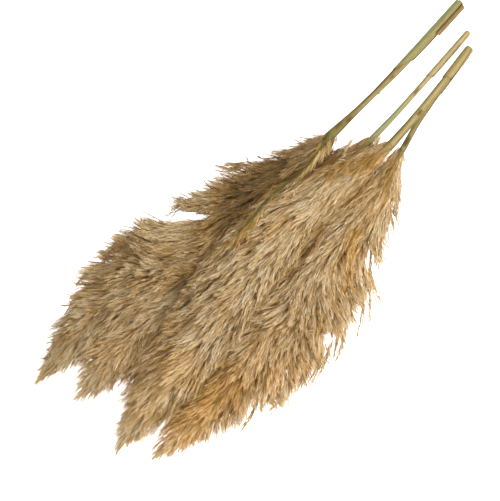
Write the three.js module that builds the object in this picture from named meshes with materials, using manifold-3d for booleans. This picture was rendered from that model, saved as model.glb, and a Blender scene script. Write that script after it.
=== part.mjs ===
// A bundle of four dried pampas grass stems lying on a table.
// Each stem is a bare culm with a leaf sheath round its cut end, and carries one plume.
// Millimetres. +X runs from the plume tips to the cut ends, +Y is to the left of the stems, +Z is up.
import * as THREE from "three";
import { mergeVertices } from "three/addons/utils/BufferGeometryUtils.js";
import Module from "manifold-3d";

const wasm = await Module();
wasm.setup();

// Driving dimensions
const FIT_GAP = 0.3; // between pieces that touch
const LOCK_LENGTH = 80; // longest raceme, along the plume
const LOCK_WIDTH = 17; // widest raceme
const LOCK_FLATNESS = 0.45; // height of a raceme as a share of its width
const CORE_SHARE = 0.45; // of the plume's half width and half height
const CELL_GAP = 0.25; // each plume keeps this far from the plane that parts it from the next
const CELL_MARGIN = 0.6; // of half a raceme's width, kept between its middle and that plane
const TO_ORIGIN = [3.5, -0.9, 0]; // puts the origin under the middle of the bundle's bounding box
const GOLDEN_ANGLE = Math.PI * (3 - Math.sqrt(5));
const SHEATH_ROOM = 0.5; // between a culm and the sheath round it
const SHEATH_SLIT = 0.9; // radians left open where the edges of a leaf sheath meet

// Each plume's spine runs from its base to its tip at the middle of its racemes: x, y, z and half width.
// Each culm starts at its cut end and runs on into the plume's base. A sheath starts at the cut end too.
const STEMS = [
  {
    seed: 11,
    locks: 92,
    flatness: 0.62,
    reach: 0.95,
    spine: [
      [131, 54, 34, 7],
      [107, 55, 35, 19],
      [54, 60, 36, 31],
      [0, 70, 36, 43],
      [-54, 82, 35, 47],
      [-107, 98, 34, 50],
      [-161, 111, 33, 52],
      [-214, 114, 31, 47],
      [-268, 111, 27, 38],
      [-322, 103, 20, 24],
      [-388, 97, 11, 1],
    ],
    culm: [[384, 56.5, 6.5], [281, 52.7, 16.5], [201, 52.2, 26.5]],
    culmRadius: 3.8,
    sheathWall: 1.3,
    sheathLength: 133,
  },
  {
    seed: 23,
    locks: 80,
    flatness: 0.6,
    reach: 1,
    spine: [
      [161, 11, 34, 6],
      [107, 13, 30, 22],
      [54, 16, 27, 33],
      [-54, 30, 26, 42],
      [-161, 46, 26, 44],
      [-214, 52, 26, 42],
      [-268, 52, 25, 36],
      [-322, 47, 19, 25],
      [-366, 43, 11, 1],
    ],
    culm: [[363, 20.4, 5], [281, 16, 17], [214, 12.4, 27]],
    culmRadius: 3.1,
    sheathWall: 0.9,
    sheathLength: 85,
  },
  {
    seed: 37,
    locks: 92,
    flatness: 0.64,
    reach: 0.95,
    spine: [
      [178, -12, 46, 6],
      [107, 0, 53, 22],
      [54, 6, 56, 30],
      [0, 13, 58, 39],
      [-54, 14, 58, 43],
      [-107, 6, 57, 43],
      [-161, -6, 54, 41],
      [-214, -15, 48, 41],
      [-268, -21, 38, 38],
      [-322, -33, 25, 25],
      [-380, -45, 11, 1],
    ],
    culm: [[348, 3.9, 16.8], [281, -3.8, 28], [225, -9.2, 38.5]],
    culmRadius: 4.8,
    sheathWall: 0.9,
    sheathLength: 56,
  },
  {
    seed: 48,
    locks: 110,
    flatness: 0.54,
    reach: 0.9,
    spine: [
      [185, -28, 34, 7],
      [134, -47, 34, 30],
      [107, -56, 34, 42],
      [54, -67, 34, 53],
      [0, -80, 33, 63],
      [-54, -88, 33, 67],
      [-107, -94, 33, 64],
      [-161, -98, 32, 59],
      [-214, -95, 29, 47],
      [-268, -87, 24, 33],
      [-322, -86, 16, 15],
      [-354, -87, 9, 1],
    ],
    culm: [[340, 0.3, 5], [281, -7.5, 13.5], [228, -16.4, 24.5]],
    culmRadius: 3.3,
    sheathWall: 0.9,
    sheathLength: 71,
  },
];

// The torn base of a second leaf. It leaves the first culm's sheath at this angle from its right side,
// lies flat against it there and stands out sideways, curling by this much towards its free edge.
const LEAF_BASE = { length: 56, width: 7.6, thickness: 0.9, from: 1.1, curl: 0.35 };

const COLOURS = { culm: "#a9a463", sheath: "#b89a62", leaf: "#a27c4c" };
const PLUME_TINTS = ["#9c7c54", "#b39468", "#bd9d70", "#b98f5c"];

// A repeatable draw of numbers from 0 to 1
function drawFrom(seed) {
  let state = seed;
  return () => {
    state = (state + 0x6d2b79f5) | 0;
    let mixed = Math.imul(state ^ (state >>> 15), 1 | state);
    mixed = (mixed + Math.imul(mixed ^ (mixed >>> 7), 61 | mixed)) ^ mixed;
    return ((mixed ^ (mixed >>> 14)) >>> 0) / 4294967296;
  };
}

function curveThrough(points) {
  return new THREE.CatmullRomCurve3(points.map((p) => new THREE.Vector3(...p)), false, "centripetal");
}

function toSolid(geometry) {
  const bare = geometry.clone();
  bare.deleteAttribute("normal");
  bare.deleteAttribute("uv");
  const merged = mergeVertices(bare, 1e-4);
  return new wasm.Manifold(
    new wasm.Mesh({
      numProp: 3,
      vertProperties: merged.attributes.position.array,
      triVerts: new Uint32Array(merged.index.array),
    }),
  );
}

function fromSolid(solid) {
  const mesh = solid.getMesh();
  const geometry = new THREE.BufferGeometry();
  geometry.setAttribute("position", new THREE.BufferAttribute(mesh.vertProperties, 3));
  geometry.setIndex(new THREE.BufferAttribute(mesh.triVerts, 1));
  geometry.computeVertexNormals();
  return geometry;
}

// A closed skin over rings of points that run the same way round, with each end closed to its middle
function skin(rings) {
  const sides = rings[0].length;
  const points = rings.flat();
  const index = [];
  for (let k = 0; k + 1 < rings.length; k++) {
    for (let j = 0; j < sides; j++) {
      const a = k * sides + j;
      const b = k * sides + ((j + 1) % sides);
      index.push(a, b, a + sides, b, b + sides, a + sides);
    }
  }
  const last = (rings.length - 1) * sides;
  for (let j = 1; j + 1 < sides; j++) {
    index.push(0, j + 1, j);
    index.push(last, last + j, last + j + 1);
  }
  return solidFacingOut(points, index);
}

function solidFacingOut(points, index) {
  const geometry = new THREE.BufferGeometry().setFromPoints(points);
  geometry.setIndex(index);
  const solid = toSolid(geometry);
  if (solid.volume() > 0) return solid;
  for (let i = 0; i < index.length; i += 3) [index[i + 1], index[i + 2]] = [index[i + 2], index[i + 1]];
  geometry.setIndex(index);
  return toSolid(geometry);
}

// A plume's spine with its length, sideways direction and size at any share t, also a little past its tip.
// Flatness is its half height as a share of its half width: it lies pressed on the table.
function plumeShape(stem) {
  const curve = curveThrough(stem.spine);
  const length = curve.getLength();
  const widest = Math.max(...stem.spine.map((p) => p[3]));
  const up = new THREE.Vector3(0, 0, 1);
  const at = (t) => {
    const inside = Math.min(t, 1);
    const along = curve.getTangentAt(inside);
    const middle = curve.getPointAt(inside).addScaledVector(along, (t - inside) * length);
    const side = new THREE.Vector3().crossVectors(up, along).normalize();
    const rise = new THREE.Vector3().crossVectors(along, side);
    return { middle, along, side, rise, halfWidth: widthAt(stem.spine, middle.x) };
  };
  const fullness = (t) => at(Math.min(t, 1)).halfWidth / widest;
  const samples = Array.from({ length: 61 }, (_, i) => at(i / 60));
  return { at, fullness, widest, length, samples, stem };
}

// Half width of a plume where it crosses a plane of constant x
function widthAt(spine, x) {
  if (x >= spine[0][0]) return spine[0][3];
  const k = spine.findIndex((p) => p[0] <= x);
  if (k < 0) return 1;
  const [a, b] = [spine[k - 1], spine[k]];
  return a[3] + ((b[3] - a[3]) * (a[0] - x)) / (a[0] - b[0]);
}

const shapes = STEMS.map(plumeShape);

// The middle and half width of a plume where it crosses a plane of constant x
function crossing(shape, x) {
  const { samples } = shape;
  const k = samples.findIndex((s) => s.middle.x <= x);
  if (k === 0) return { y: samples[0].middle.y, z: samples[0].middle.z, halfWidth: 4 };
  if (k < 0) {
    const tip = samples[samples.length - 1];
    return { y: tip.middle.y, z: tip.middle.z, halfWidth: 4 };
  }
  const [a, b] = [samples[k - 1], samples[k]];
  const share = (a.middle.x - x) / (a.middle.x - b.middle.x);
  const mix = (p, q) => p + (q - p) * share;
  return {
    y: mix(a.middle.y, b.middle.y),
    z: mix(a.middle.z, b.middle.z),
    halfWidth: Math.max(4, mix(a.halfWidth, b.halfWidth)),
  };
}

// Bends a point of a raceme clear of the neighbouring plumes and of the table
function bendClear(point, own, radius) {
  const here = crossing(own, point.x);
  for (let round = 0; round < 3; round++) {
    for (const other of shapes) {
      if (other === own) continue;
      const there = crossing(other, point.x);
      const [dy, dz] = [there.y - here.y, there.z - here.z];
      const apart = Math.hypot(dy, dz);
      const share = here.halfWidth / (here.halfWidth + there.halfWidth);
      const depth = ((point.y - here.y) * dy + (point.z - here.z) * dz) / apart;
      const excess = depth - (apart * share - radius * CELL_MARGIN - CELL_GAP);
      if (excess > 0) {
        point.y -= (excess * dy) / apart;
        point.z -= (excess * dz) / apart;
      }
    }
    point.z = Math.max(point.z, radius * 0.35);
  }
  return point;
}

// The plume's rachis with the dense bases of its racemes
function coreOf(shape) {
  const rings = [];
  const stations = 15;
  for (let k = 0; k <= stations; k++) {
    const t = (k / stations) * 0.985;
    const { middle, side, rise, halfWidth } = shape.at(t);
    const rachis = shape.stem.culmRadius * (1 - 0.6 * t);
    const across = Math.max(rachis, CORE_SHARE * halfWidth);
    const high = Math.max(rachis, CORE_SHARE * halfWidth * shape.stem.flatness);
    const ring = [];
    for (let j = 0; j < 8; j++) {
      const angle = ((j + 0.5) / 8) * 2 * Math.PI;
      ring.push(
        middle
          .clone()
          .addScaledVector(side, across * Math.cos(angle))
          .addScaledVector(rise, high * Math.sin(angle)),
      );
    }
    rings.push(ring);
  }
  return skin(rings);
}

// Shares of the plume's length at which its racemes leave the rachis, closer together where it is wide
function lockStarts(shape) {
  const steps = 400;
  const count = shape.stem.locks;
  const density = Array.from({ length: steps }, (_, i) => 0.3 + shape.fullness((i + 0.5) / steps));
  const total = density.reduce((sum, d) => sum + d, 0);
  const starts = [];
  let passed = 0;
  density.forEach((d, i) => {
    passed += d;
    while (starts.length < count && passed >= ((starts.length + 0.5) / count) * total) {
      starts.push(-0.02 + ((i + 0.5) / steps) * 0.97);
    }
  });
  return starts;
}

// One raceme: a three-sided tapering lock that leaves the core, swings out and runs towards the plume's tip
function lockOf(shape, start, angle, draw) {
  const t0 = Math.max(start, 0.014);
  const scale = 0.5 + 0.5 * shape.fullness(t0 + 0.06);
  const reach = (LOCK_LENGTH * shape.stem.reach * scale * (0.88 + 0.24 * draw())) / shape.length;
  const width = LOCK_WIDTH * scale * (0.85 + 0.3 * draw());
  const outward = 0.92 + 0.14 * draw();
  const twist = (draw() - 0.5) * 0.3;
  // Along the raceme: share of its reach, of the plume's half width, and of its own width
  const stations = [
    [0, CORE_SHARE * 0.7, 0.5],
    [0.3, 0.74, 1],
    [0.62, 0.93, 0.9],
    [1, 1, 0],
  ];
  const points = stations.map(([share, radial, girth]) => {
    const t = t0 + reach * share;
    const place = shape.at(t);
    const turned = angle + twist * share;
    const size = openness(shape, t0, t);
    const radius = radial * (share > 0 ? outward : 1);
    const point = place.middle
      .clone()
      .addScaledVector(place.side, size * radius * Math.cos(turned))
      .addScaledVector(place.rise, size * shape.stem.flatness * radius * Math.sin(turned));
    const half = (width * girth) / 2;
    return { point: share > 0 ? bendClear(point, shape, half) : point, half, place, turned };
  });
  const rings = points.slice(0, 3).map(({ point, half, place, turned }, k) => {
    const run = points[k + 1].point.clone().sub(point).normalize();
    const out = place.side
      .clone()
      .multiplyScalar(Math.cos(turned))
      .addScaledVector(place.rise, Math.sin(turned));
    const across = new THREE.Vector3().crossVectors(run, out).normalize();
    const ridge = new THREE.Vector3().crossVectors(across, run).normalize();
    const height = half * 2 * LOCK_FLATNESS;
    return [
      point.clone().addScaledVector(across, half).addScaledVector(ridge, -height * 0.35),
      point.clone().addScaledVector(across, -half).addScaledVector(ridge, -height * 0.35),
      point.clone().addScaledVector(ridge, height * 0.65),
    ];
  });
  return pointed(rings, points[3].point);
}

// Half width of the plume for a raceme that starts at t0 and has come to t. It stays a little open at the tip.
function openness(shape, t0, t) {
  return shape.widest * Math.max(shape.fullness(t), 0.35 * shape.fullness(t0) * (1.15 - t));
}

// A skin over rings of three points that closes to a point at its end
function pointed(rings, tip) {
  const points = [...rings.flat(), tip];
  const last = points.length - 1;
  const index = [0, 2, 1];
  for (let k = 0; k + 1 < rings.length; k++) {
    for (let j = 0; j < 3; j++) {
      const a = k * 3 + j;
      const b = k * 3 + ((j + 1) % 3);
      index.push(a, b, a + 3, b, b + 3, a + 3);
    }
  }
  for (let j = 0; j < 3; j++) index.push(last - 3 + j, last - 3 + ((j + 1) % 3), last);
  return solidFacingOut(points, index);
}

// The half space above the table
function aboveTable() {
  const room = new THREE.BoxGeometry(2000, 2000, 500).translate(0, 0, 250);
  return toSolid(room);
}

function plumeSolid(shape) {
  const draw = drawFrom(shape.stem.seed);
  const pieces = [coreOf(shape)];
  lockStarts(shape).forEach((start, i) => {
    pieces.push(lockOf(shape, start, i * GOLDEN_ANGLE, draw));
  });
  const whole = wasm.Manifold.union(pieces).intersect(aboveTable());
  const bodies = whole.decompose().sort((a, b) => b.volume() - a.volume());
  return bodies[0];
}

function circleOf(radius, sides) {
  const shape = new THREE.Shape();
  for (let j = 0; j < sides; j++) {
    const angle = (j / sides) * 2 * Math.PI;
    const [x, y] = [radius * Math.cos(angle), radius * Math.sin(angle)];
    if (j === 0) shape.moveTo(x, y);
    else shape.lineTo(x, y);
  }
  shape.closePath();
  return shape;
}

// A ring of this inner radius and wall, open over an arc round the angle called middle
function openRing(inner, wall, open, middle, sides) {
  const shape = new THREE.Shape();
  const from = middle + open / 2;
  const sweep = 2 * Math.PI - open;
  for (let j = 0; j <= sides; j++) {
    const angle = from + (sweep * j) / sides;
    const [x, y] = [(inner + wall) * Math.cos(angle), (inner + wall) * Math.sin(angle)];
    if (j === 0) shape.moveTo(x, y);
    else shape.lineTo(x, y);
  }
  for (let j = sides; j >= 0; j--) {
    const angle = from + (sweep * j) / sides;
    shape.lineTo(inner * Math.cos(angle), inner * Math.sin(angle));
  }
  shape.closePath();
  return shape;
}

function alongPath(shape, path, steps) {
  return new THREE.ExtrudeGeometry(shape, { extrudePath: path, steps, bevelEnabled: false });
}

// A culm's centreline, which ends just short of the plume's base and runs straight at it
function culmCurve(stem) {
  const spine = curveThrough(stem.spine);
  const [base, along] = [spine.getPointAt(0), spine.getTangentAt(0)];
  const before = (distance) => base.clone().addScaledVector(along, -distance).toArray();
  return curveThrough([...stem.culm, before(14), before(FIT_GAP)]);
}

// The part of a culm's centreline between two distances from its cut end
function stretchOf(stem, from, to) {
  const curve = culmCurve(stem);
  const length = curve.getLength();
  const points = [0, 0.5, 1].map((share) => curve.getPointAt((from + (to - from) * share) / length));
  return curveThrough(points.map((point) => point.toArray()));
}

function culmGeometry(stem) {
  return alongPath(circleOf(stem.culmRadius, 12), culmCurve(stem), 8);
}

function sheathGeometry(stem) {
  const ring = openRing(stem.culmRadius + SHEATH_ROOM, stem.sheathWall, SHEATH_SLIT, Math.PI / 2, 12);
  return alongPath(ring, stretchOf(stem, 2, stem.sheathLength), 3);
}

// A strip that starts square to a radius of the circle, just clear of it, and curls in towards its end
function curledStrip(radius, { width, thickness, from, curl }) {
  const segments = 4;
  let heading = from - Math.PI / 2;
  let [x, y] = [radius * Math.cos(from), radius * Math.sin(from)];
  const [near, far] = [[], []];
  for (let j = 0; j <= segments; j++) {
    near.push([x, y]);
    far.push([x - thickness * Math.sin(heading), y + thickness * Math.cos(heading)]);
    heading -= curl / segments;
    x += (width / segments) * Math.cos(heading);
    y += (width / segments) * Math.sin(heading);
  }
  const shape = new THREE.Shape();
  shape.moveTo(...near[0]);
  for (const point of [...near.slice(1), ...far.reverse()]) shape.lineTo(...point);
  shape.closePath();
  return shape;
}

function leafBaseGeometry(stem) {
  const outside = stem.culmRadius + SHEATH_ROOM + stem.sheathWall + FIT_GAP;
  return alongPath(curledStrip(outside, LEAF_BASE), stretchOf(stem, 3, LEAF_BASE.length), 2);
}

function named(name, geometry, colour, roughness) {
  const material = new THREE.MeshStandardMaterial({ color: colour, roughness, metalness: 0 });
  const mesh = new THREE.Mesh(geometry, material);
  mesh.name = name;
  return mesh;
}

const bundle = new THREE.Group();
bundle.position.set(...TO_ORIGIN);
shapes.forEach((shape, i) => {
  const { stem } = shape;
  const number = i + 1;
  bundle.add(named(`culm_${number}`, culmGeometry(stem), COLOURS.culm, 0.5));
  bundle.add(named(`sheath_${number}`, sheathGeometry(stem), COLOURS.sheath, 0.6));
  bundle.add(named(`plume_${number}`, fromSolid(plumeSolid(shape)), PLUME_TINTS[i], 0.9));
});
bundle.add(named("leaf_base_1", leafBaseGeometry(STEMS[0]), COLOURS.leaf, 0.7));

export default bundle;
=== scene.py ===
"""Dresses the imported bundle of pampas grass: fine racemes on the plumes, worked culms and leaf sheaths.

Lengths in the tables are millimetres in the same frame as the solids, before TO_ORIGIN.
The meshes are in metres.
"""

import math

import bpy
import numpy as np
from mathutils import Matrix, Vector


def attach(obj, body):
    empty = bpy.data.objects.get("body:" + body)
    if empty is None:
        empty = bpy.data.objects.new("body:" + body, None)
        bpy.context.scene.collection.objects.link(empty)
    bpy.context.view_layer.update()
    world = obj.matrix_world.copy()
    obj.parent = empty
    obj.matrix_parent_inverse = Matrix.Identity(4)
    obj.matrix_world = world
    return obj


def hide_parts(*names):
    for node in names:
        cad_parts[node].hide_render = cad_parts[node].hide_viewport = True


MM = 0.001
TO_ORIGIN = np.array([3.5, -0.9, 0.0])  # the same shift as the solids have
UP = np.array([0.0, 0.0, 1.0])
FLOOR_GAP = 0.4  # no strand comes nearer the floor than this
LOFTY = 89.0  # strands that stand higher than this are drawn back
WIDE = 164.0  # and those that reach farther out to the sides
DRAWN_BACK = 0.55  # this share of the way

# Camera: it looks straight down, with the stems towards the upper right
PICTURE_MIDDLE = (-54.07, 20.6)  # the point of the bundle at the middle of the picture
PICTURE_WIDTH = 670.0  # seen across the picture at PICTURE_HEIGHT
PICTURE_HEIGHT = 30.0
LENS = 220.0
SENSOR = 36.0
CAMERA_TURN = -45.0  # degrees

WORLD_LIGHT = 1.0
KEY_PLACE = (0.95, -1.15, 1.25)  # metres, as KEY_SIZE and FLOOR_HALF
KEY_SIZE = 1.0
KEY_POWER = 32
FLOOR_HALF = 6.0

# Each plume: its height as a share of its width, its spine from base to tip as x, y, z and half width, the
# run of its rachis where that lies aside of the spine, how far back on it a raceme starts, how much racemes
# turn outward towards their ends on the left and the right side, and how light its hair is. Where the first
# one's core is pinched: the middle along x and the spread, how much slimmer and how far aside it is there
PLUMES = {
    1: {
        "flatness": 0.62,
        "spine": [
            [131, 54, 34, 7], [107, 55, 35, 19], [54, 60, 36, 31], [0, 70, 36, 43], [-54, 82, 35, 47],
            [-107, 98, 34, 50], [-161, 111, 33, 52], [-214, 114, 31, 47], [-268, 111, 27, 38],
            [-322, 103, 20, 24], [-388, 97, 11, 1],
        ],
        "rachis": [
            [134, 54, 34], [110, 50, 44], [66, 46, 51], [24, 52, 55], [-44, 49, 58],
            [-110, 75, 46], [-161, 105, 36],
        ],
        "pinch": (-70, 30, 0.6, 13),
        "reach": 74, "arch": (1.9, 1.0), "tint": (0.56, 0.41, 0.215),
    },
    2: {
        "flatness": 0.6,
        "spine": [
            [161, 11, 34, 6], [107, 13, 30, 22], [54, 16, 27, 33], [-54, 30, 26, 42], [-161, 46, 26, 44],
            [-214, 52, 26, 42], [-268, 52, 25, 36], [-322, 47, 19, 25], [-366, 43, 11, 1],
        ],
        "reach": 74, "arch": (1.3, 1.0), "tint": (0.62, 0.456, 0.242),
    },
    3: {
        "flatness": 0.64,
        "spine": [
            [178, -12, 46, 6], [107, 0, 53, 22], [54, 6, 56, 30], [0, 13, 58, 39], [-54, 14, 58, 43],
            [-107, 6, 57, 43], [-161, -6, 54, 41], [-214, -15, 48, 41], [-268, -21, 38, 38],
            [-322, -33, 25, 25], [-380, -45, 11, 1],
        ],
        "reach": 80, "arch": (1.3, 1.2), "tint": (0.655, 0.5, 0.285),
    },
    4: {
        "flatness": 0.54,
        "spine": [
            [185, -28, 34, 7], [160, -36, 34, 13], [134, -46, 34, 25], [107, -53, 34, 35],
            [54, -64, 34, 48], [0, -79, 33, 62], [-54, -88, 33, 67], [-107, -94, 33, 67],
            [-161, -98, 32, 62], [-214, -95, 29, 47], [-268, -87, 24, 33], [-322, -86, 16, 15],
            [-354, -87, 9, 1],
        ],
        "reach": 66, "arch": (1.0, 1.45), "tint": (0.695, 0.522, 0.288),
    },
}

NO_PINCH = (0, 1, 0, 0)

# Racemes of one plume: those that show outside, the deeper ones behind them, its tip's and loose ones
OUTER = 8000
UNDER = 520
TIP = 70
LOOSE = 130
UPPER_SHARE = 1.8  # how much denser they stand on the upper side than below
EVEN_STEPS = (0.754877666, 0.569840291)  # along and round a plume, from one to the next
RACEME_LENGTH = (16, 28)
# The locks that the outer racemes of a plume gather in, from large to small: how many, how much longer than
# wide, how strongly the racemes draw together, how far the lock's middle runs out and how unevenly, how far
# its end stands up, and how differently the locks lie in height, in direction and in tone
LOCKS = [
    {"count": 80, "stretch": 3, "pull": 0.08, "run": 5, "uneven": 4,
     "rise": 1.5, "lift": 2.0, "sway": 0.09, "tone": 0.05},
    {"count": 330, "stretch": 3, "pull": 0.15, "run": 3, "uneven": 3,
     "rise": 2.5, "lift": 1.2, "sway": 0.09, "tone": 0.05},
    {"count": 1000, "stretch": 4, "pull": 0.3, "run": 2, "uneven": 2,
     "rise": 2, "lift": 0.8, "sway": 0.07, "tone": 0.06},
]
DOME = 0.8  # how far a lock's middle stands out over its sides
LOCK_PAINTED_SHADE = 0.08  # painted shade: how much lighter its middle is painted than its sides, which lie deeper
RIM_PAINTED_SHADE = 0.2  # painted shade: how much darker and cooler the racemes at the right rim are painted, where the key light falls full on them
RIM_PAINTED_COOL = 0.2
EDGE = 2.0  # how far inside the plume's outline the racemes end
MEETING = 18.0  # plumes nearer each other than this grow into each other
MEETING_TURN = 0.55  # how far racemes turn to lie along their plume there
CROSSING = 13.0  # how far racemes reach in among the next plume's

# Kinds of raceme: how many spikelets one has, how wide their hairs are, and their size
KINDS = {
    "upper": (7, (0.38, 0.72), 1.0),
    "lower": (3, (0.38, 0.72), 1.0),
    "under": (13, (0.8, 1.3), 1.0),
    "tip": (30, (0.38, 0.72), 0.9),
    "loose": (24, (0.38, 0.72), 0.8),
    "wisp": (18, (0.6, 1.1), 0.75),
    "spray": (12, (0.35, 0.65), 0.9),
}
HAIRS = 2  # of one spikelet
HAIR_FAN = 5  # degrees between them
SPIKELET_LENGTH = (12, 20)
SPIKELET_LEAN = (3, 5)  # degrees out from its raceme: the least, and how unevenly more
SPREAD = 1.2  # how far out from its raceme a spikelet begins
HAIR_TONES = (0.6, 0.97, 1.08, 0.97)  # painted shade and highlight, darker at a hair's root and lightest at its tip: at its root, one side, tip and other side
HAIR_WARMTHS = (0, 0.03, 0, -0.03)
BRIGHT = 1.08  # hair lighter than this is held back
PAINTED_SHADE_WARMTH = 1.4  # how much warmer hair is painted for being darker, as hair in shade looks, and at most
WARMEST = 0.85
WARM_RED = 0.38  # what warmth adds to red and takes from blue
WARM_BLUE = 0.6
WISP_COPIES = 4  # racemes of each loose branchlet
CORE = 0.46  # the dense middle that the racemes stand out of, as a share of the plume
CORE_END = 0.88  # of the plume's length
# Painted shade: the core is painted dark, and browner than the hair, for the shade deep inside the plume
CORE_PAINTED_SHADE = 0.45
CORE_BROWN = (1, 0.84, 0.66)
RACEME_POINTS = 6  # how many points the run of each one has
SPINE_POINTS = 401
RACHIS_POINTS = 400
CULM_POINTS = 170
SHEATH_POINTS = 400  # along the culm, where sheaths and the leaf base follow it

# Places of other colour and of painted light and shade on one or more plumes: middle as x, y, radius, how
# light, how warm
PATCHES = {
    (1,): [
        [104, 62, 24, 0.7, -0.1], [79, 62, 28, 0.44, -0.12], [50, 70, 32, 0.36, 0.09],
        [20, 76, 36, 0.29, 0.09], [-12, 80, 36, 0.3, 0.09], [-78, 86, 28, 0.72, 0.1],
        [-125, 92, 24, 0.68, 0.12], [-172, 86, 26, 1.08, 0.0],
    ],
    (1, 2): [
        [-46, 70, 34, 0.41, 0.0], [-101, 69, 20, 0.76, 0.0], [-195, 68, 18, 1.28, 0.0],
    ],
    (1, 2, 3): [
        [17, 45, 15, 0.88, 0.05],
    ],
    (2,): [
        [-265, 46, 40, 1.0, 0.17],
    ],
    (2, 3): [
        [141, -12, 20, 0.78, 0.3], [98, 24, 22, 0.76, 0.33], [-30, 45, 18, 0.8, 0.05],
        [-77, 45, 20, 0.9, 0.0], [-172, 45, 20, 1.3, 0.0], [-124, 42, 22, 1.1, 0.0],
        [-148, 20, 16, 0.88, 0.0], [-290, 20, 22, 0.98, 0.2], [-190, 20, 22, 0.97, 0.15],
        [-262, -2, 13, 1.15, 0.0],
    ],
    (3,): [
        [-9, 22, 17, 0.73, 0.32], [-50, 22, 16, 0.82, 0.3], [20, 4, 16, 0.9, 0.2],
        [65, -3, 16, 0.87, 0.1], [112, -3, 16, 1.07, -0.15], [-225, -14, 44, 0.95, 0.2],
        [-226, -48, 24, 0.93, 0.25], [-290, -30, 60, 0.92, 0.12],
    ],
    (3, 4): [
        [75, -60, 46, 0.8, 0.0], [112, -50, 20, 0.9, 0.15], [88, -26, 20, 0.9, 0.13],
        [30, -22, 13, 0.58, 0.2], [0, -30, 12, 0.58, 0.2], [-38, -34, 11, 0.64, 0.2],
        [-75, -38, 10, 0.8, 0.2],
    ],
    (4,): [
        [62, -62, 12, 0.8, 0.6], [45, -73, 13, 0.78, 0.55], [25, -86, 11, 0.82, 0.55],
        [5, -97, 11, 0.86, 0.42], [-6, -72, 20, 1.14, 0.0], [-101, -74, 28, 1.1, 0.04],
        [-136, -80, 36, 1.0, 0.13], [-195, -80, 42, 0.77, 0.38], [-240, -80, 40, 0.74, 0.38],
        [-282, -84, 36, 0.81, 0.33], [-148, -120, 26, 0.9, 0.2], [-120, -138, 24, 0.92, 0.12],
    ],
}

# Where the racemes turn aside from their plume's run: x, y, and degrees to the left as seen from above
COMBED = [
    [165, 25, 17], [66, 38, 18], [3, 40, 13], [-54, 97, 16], [22, 2, -11], [-167, 116, -56],
    [-129, 78, -30], [-91, 40, 25], [-82, 12, -9], [-54, 2, -18], [-25, -45, 14], [22, -74, 15],
    [-243, 116, -31], [-205, 78, -26], [-129, 2, -26], [-110, -17, -11], [-54, -74, 40],
    [-16, -112, 34], [-281, 78, -14], [-205, 2, -15], [-167, -36, -20], [-129, -74, 19],
    [-167, -74, 10], [-243, -36, -20], [-205, -74, 20], [-196, -102, 10], [-110, -130, 14],
    [-167, -112, 18], [-252, -104, 15], [-310, -45, -14],
]
COMB_REACH = 30.0

# Clearings in the plumes' sides: the plume, the outer and the inner end, and the half widths there
CLEARINGS = [
    (1, (-92, 124), (-64, 95), 9, 4.5),
    (4, (47, -130), (47, -103), 12, 7),
    (4, (-67, -160), (-67, -136), 11, 6),
    (4, (-204, -155), (-204, -132), 12, 7),
]

# Loose branchlets beyond the plumes: from, by way of, to
WISPS = {
    1: [
        [[-38, 112, 34], [-66, 127, 36], [-98, 132, 30]],
        [[-30, 110, 30], [-60, 121, 30], [-86, 134, 24]],
        [[20, 104, 36], [4, 116, 36], [-4, 126, 32]],
        [[28, 102, 30], [14, 116, 28], [6, 124, 24]],
        [[84, 70, 40], [76, 78, 40], [68, 84, 36]],
        [[-150, 147, 30], [-176, 153, 28], [-200, 155, 24]],
        [[-196, 146, 28], [-226, 152, 24], [-250, 150, 20]],
        [[-232, 136, 24], [-262, 140, 20], [-288, 136, 16]],
    ],
    3: [
        [[156, -2, 52], [164, 3, 52], [171, 5, 48]],
        [[118, 20, 60], [128, 25, 58], [138, 28, 54]],
    ],
    4: [
        [[62, -92, 34], [40, -112, 32], [18, -128, 26]],
        [[88, -80, 36], [70, -100, 34], [52, -114, 28]],
        [[34, -118, 30], [12, -142, 24], [-6, -160, 18]],
        [[120, -68, 34], [114, -84, 30], [108, -96, 22]],
        [[-30, -140, 26], [-58, -156, 22], [-80, -168, 16]],
        [[-60, -142, 30], [-84, -154, 26], [-104, -162, 20]],
        [[10, -130, 22], [-14, -148, 18], [-34, -160, 14]],
        [[-190, -128, 20], [-212, -138, 16], [-232, -142, 12]],
        [[-140, -142, 20], [-164, -150, 16], [-184, -150, 12]],
        [[44, -108, 22], [28, -132, 18], [20, -150, 14]],
        [[-76, -140, 24], [-92, -150, 20], [-112, -158, 14]],
        [[-100, -140, 22], [-120, -150, 18], [-140, -157, 12]],
        [[-124, -138, 20], [-146, -148, 16], [-164, -154, 12]],
        [[-40, -140, 22], [-58, -150, 18], [-72, -160, 14]],
        [[-86, -142, 18], [-104, -156, 14], [-122, -164, 10]],
    ],
}

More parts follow.
